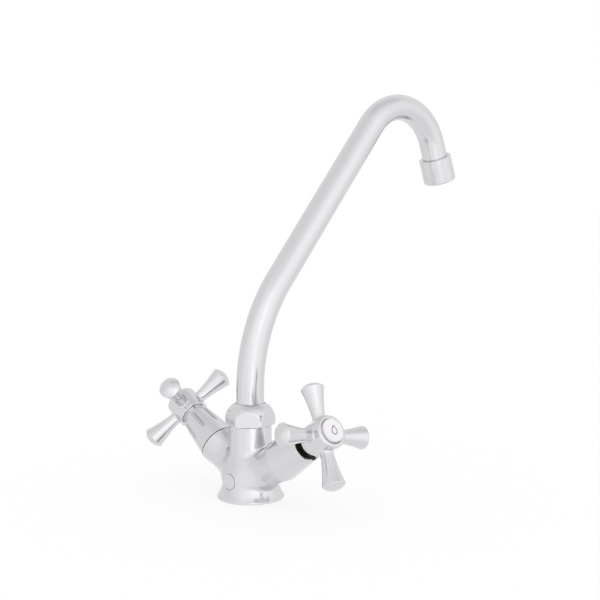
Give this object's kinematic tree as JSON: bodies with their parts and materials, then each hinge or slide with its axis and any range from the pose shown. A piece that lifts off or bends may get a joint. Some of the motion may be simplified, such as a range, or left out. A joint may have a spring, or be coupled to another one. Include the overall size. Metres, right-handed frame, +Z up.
{
  "type": "two handle kitchen faucet",
  "caption": "Deck-mounted kitchen faucet: cast body with two inclined rising-stem valves, cross handles and a high bent swivel spout with an aerator.",
  "frame": {"origin": "middle of the flat underside of the foot, where it stands on the sink or worktop", "axes": "+Z up along the body and the spout's swivel axis; the spout reaches towards -Y at rest; hot valve on the -X side, cold valve on the +X side"},
  "size_m": [0.1824, 0.2439, 0.2798],
  "materials": {
    "chrome": "polished chrome plate on brass",
    "brass": "machined",
    "rubber": "moulded nitrile rubber",
    "nylon": "moulded nylon",
    "black_nylon": "moulded nylon",
    "fibre": "pressed fibre",
    "index_white": "moulded gloss",
    "steel": "machined stainless steel"
  },
  "bodies": {
    "base": {"body": "chrome", "foot_seal": "rubber", "rear_plug": "chrome", "rear_plug_o_ring": "rubber", "spout_nut": "chrome", "spout_bearing_washer": "nylon", "hot_headwork_seal": "fibre", "hot_headwork": "brass", "hot_sleeve": "chrome", "hot_guide_ring": "black_nylon", "cold_headwork_seal": "fibre", "cold_headwork": "brass", "cold_sleeve": "chrome", "cold_guide_ring": "black_nylon"},
    "spout": {"spout_tube": "chrome", "spout_ferrule": "brass", "spout_o_ring_lower": "rubber", "spout_o_ring_upper": "rubber", "spout_tip": "brass", "aerator_housing": "chrome", "aerator_seal": "rubber", "aerator_cartridge": "nylon", "aerator_screen": "steel"},
    "hot_valve_plate": {"hot_jumper": "brass", "hot_jumper_washer": "rubber"},
    "hot_cross": {"hot_spindle": "brass", "hot_gland_ring_inner": "rubber", "hot_gland_ring_outer": "rubber", "hot_handle": "chrome", "hot_handle_screw": "steel", "hot_index_button": "index_white"},
    "cold_valve_plate": {"cold_jumper": "brass", "cold_jumper_washer": "rubber"},
    "cold_cross": {"cold_spindle": "brass", "cold_gland_ring_inner": "rubber", "cold_gland_ring_outer": "rubber", "cold_handle": "chrome", "cold_handle_screw": "steel", "cold_index_button": "index_white"}
  },
  "joints": [
    {"name": "spout_swivel", "type": "hinge", "parent": "base", "child": "spout", "pos_m": [0, 0, 0.06], "axis": [0, 0, 1], "continuous": true},
    {"name": "hot_lift", "type": "slide", "parent": "base", "child": "hot_valve_plate", "axis": [-0.866, 0, 0.5], "range_m": [-0.0024, 0.0021]},
    {"name": "hot_turn", "type": "hinge", "parent": "hot_valve_plate", "child": "hot_cross", "pos_m": [0, 0, 0.0126], "axis": [-0.866, 0, 0.5], "range_deg": [-288, 252]},
    {"name": "cold_lift", "type": "slide", "parent": "base", "child": "cold_valve_plate", "axis": [0.866, 0, 0.5], "range_m": [0, 0.0045]},
    {"name": "cold_turn", "type": "hinge", "parent": "cold_valve_plate", "child": "cold_cross", "pos_m": [0, 0, 0.0126], "axis": [0.866, 0, 0.5], "range_deg": [0, 540]}
  ],
  "couplings": [
    {"joint": "hot_lift", "follows": "hot_turn", "m_per_rad": 0.00047746},
    {"joint": "cold_lift", "follows": "cold_turn", "m_per_rad": 0.00047746}
  ]
}
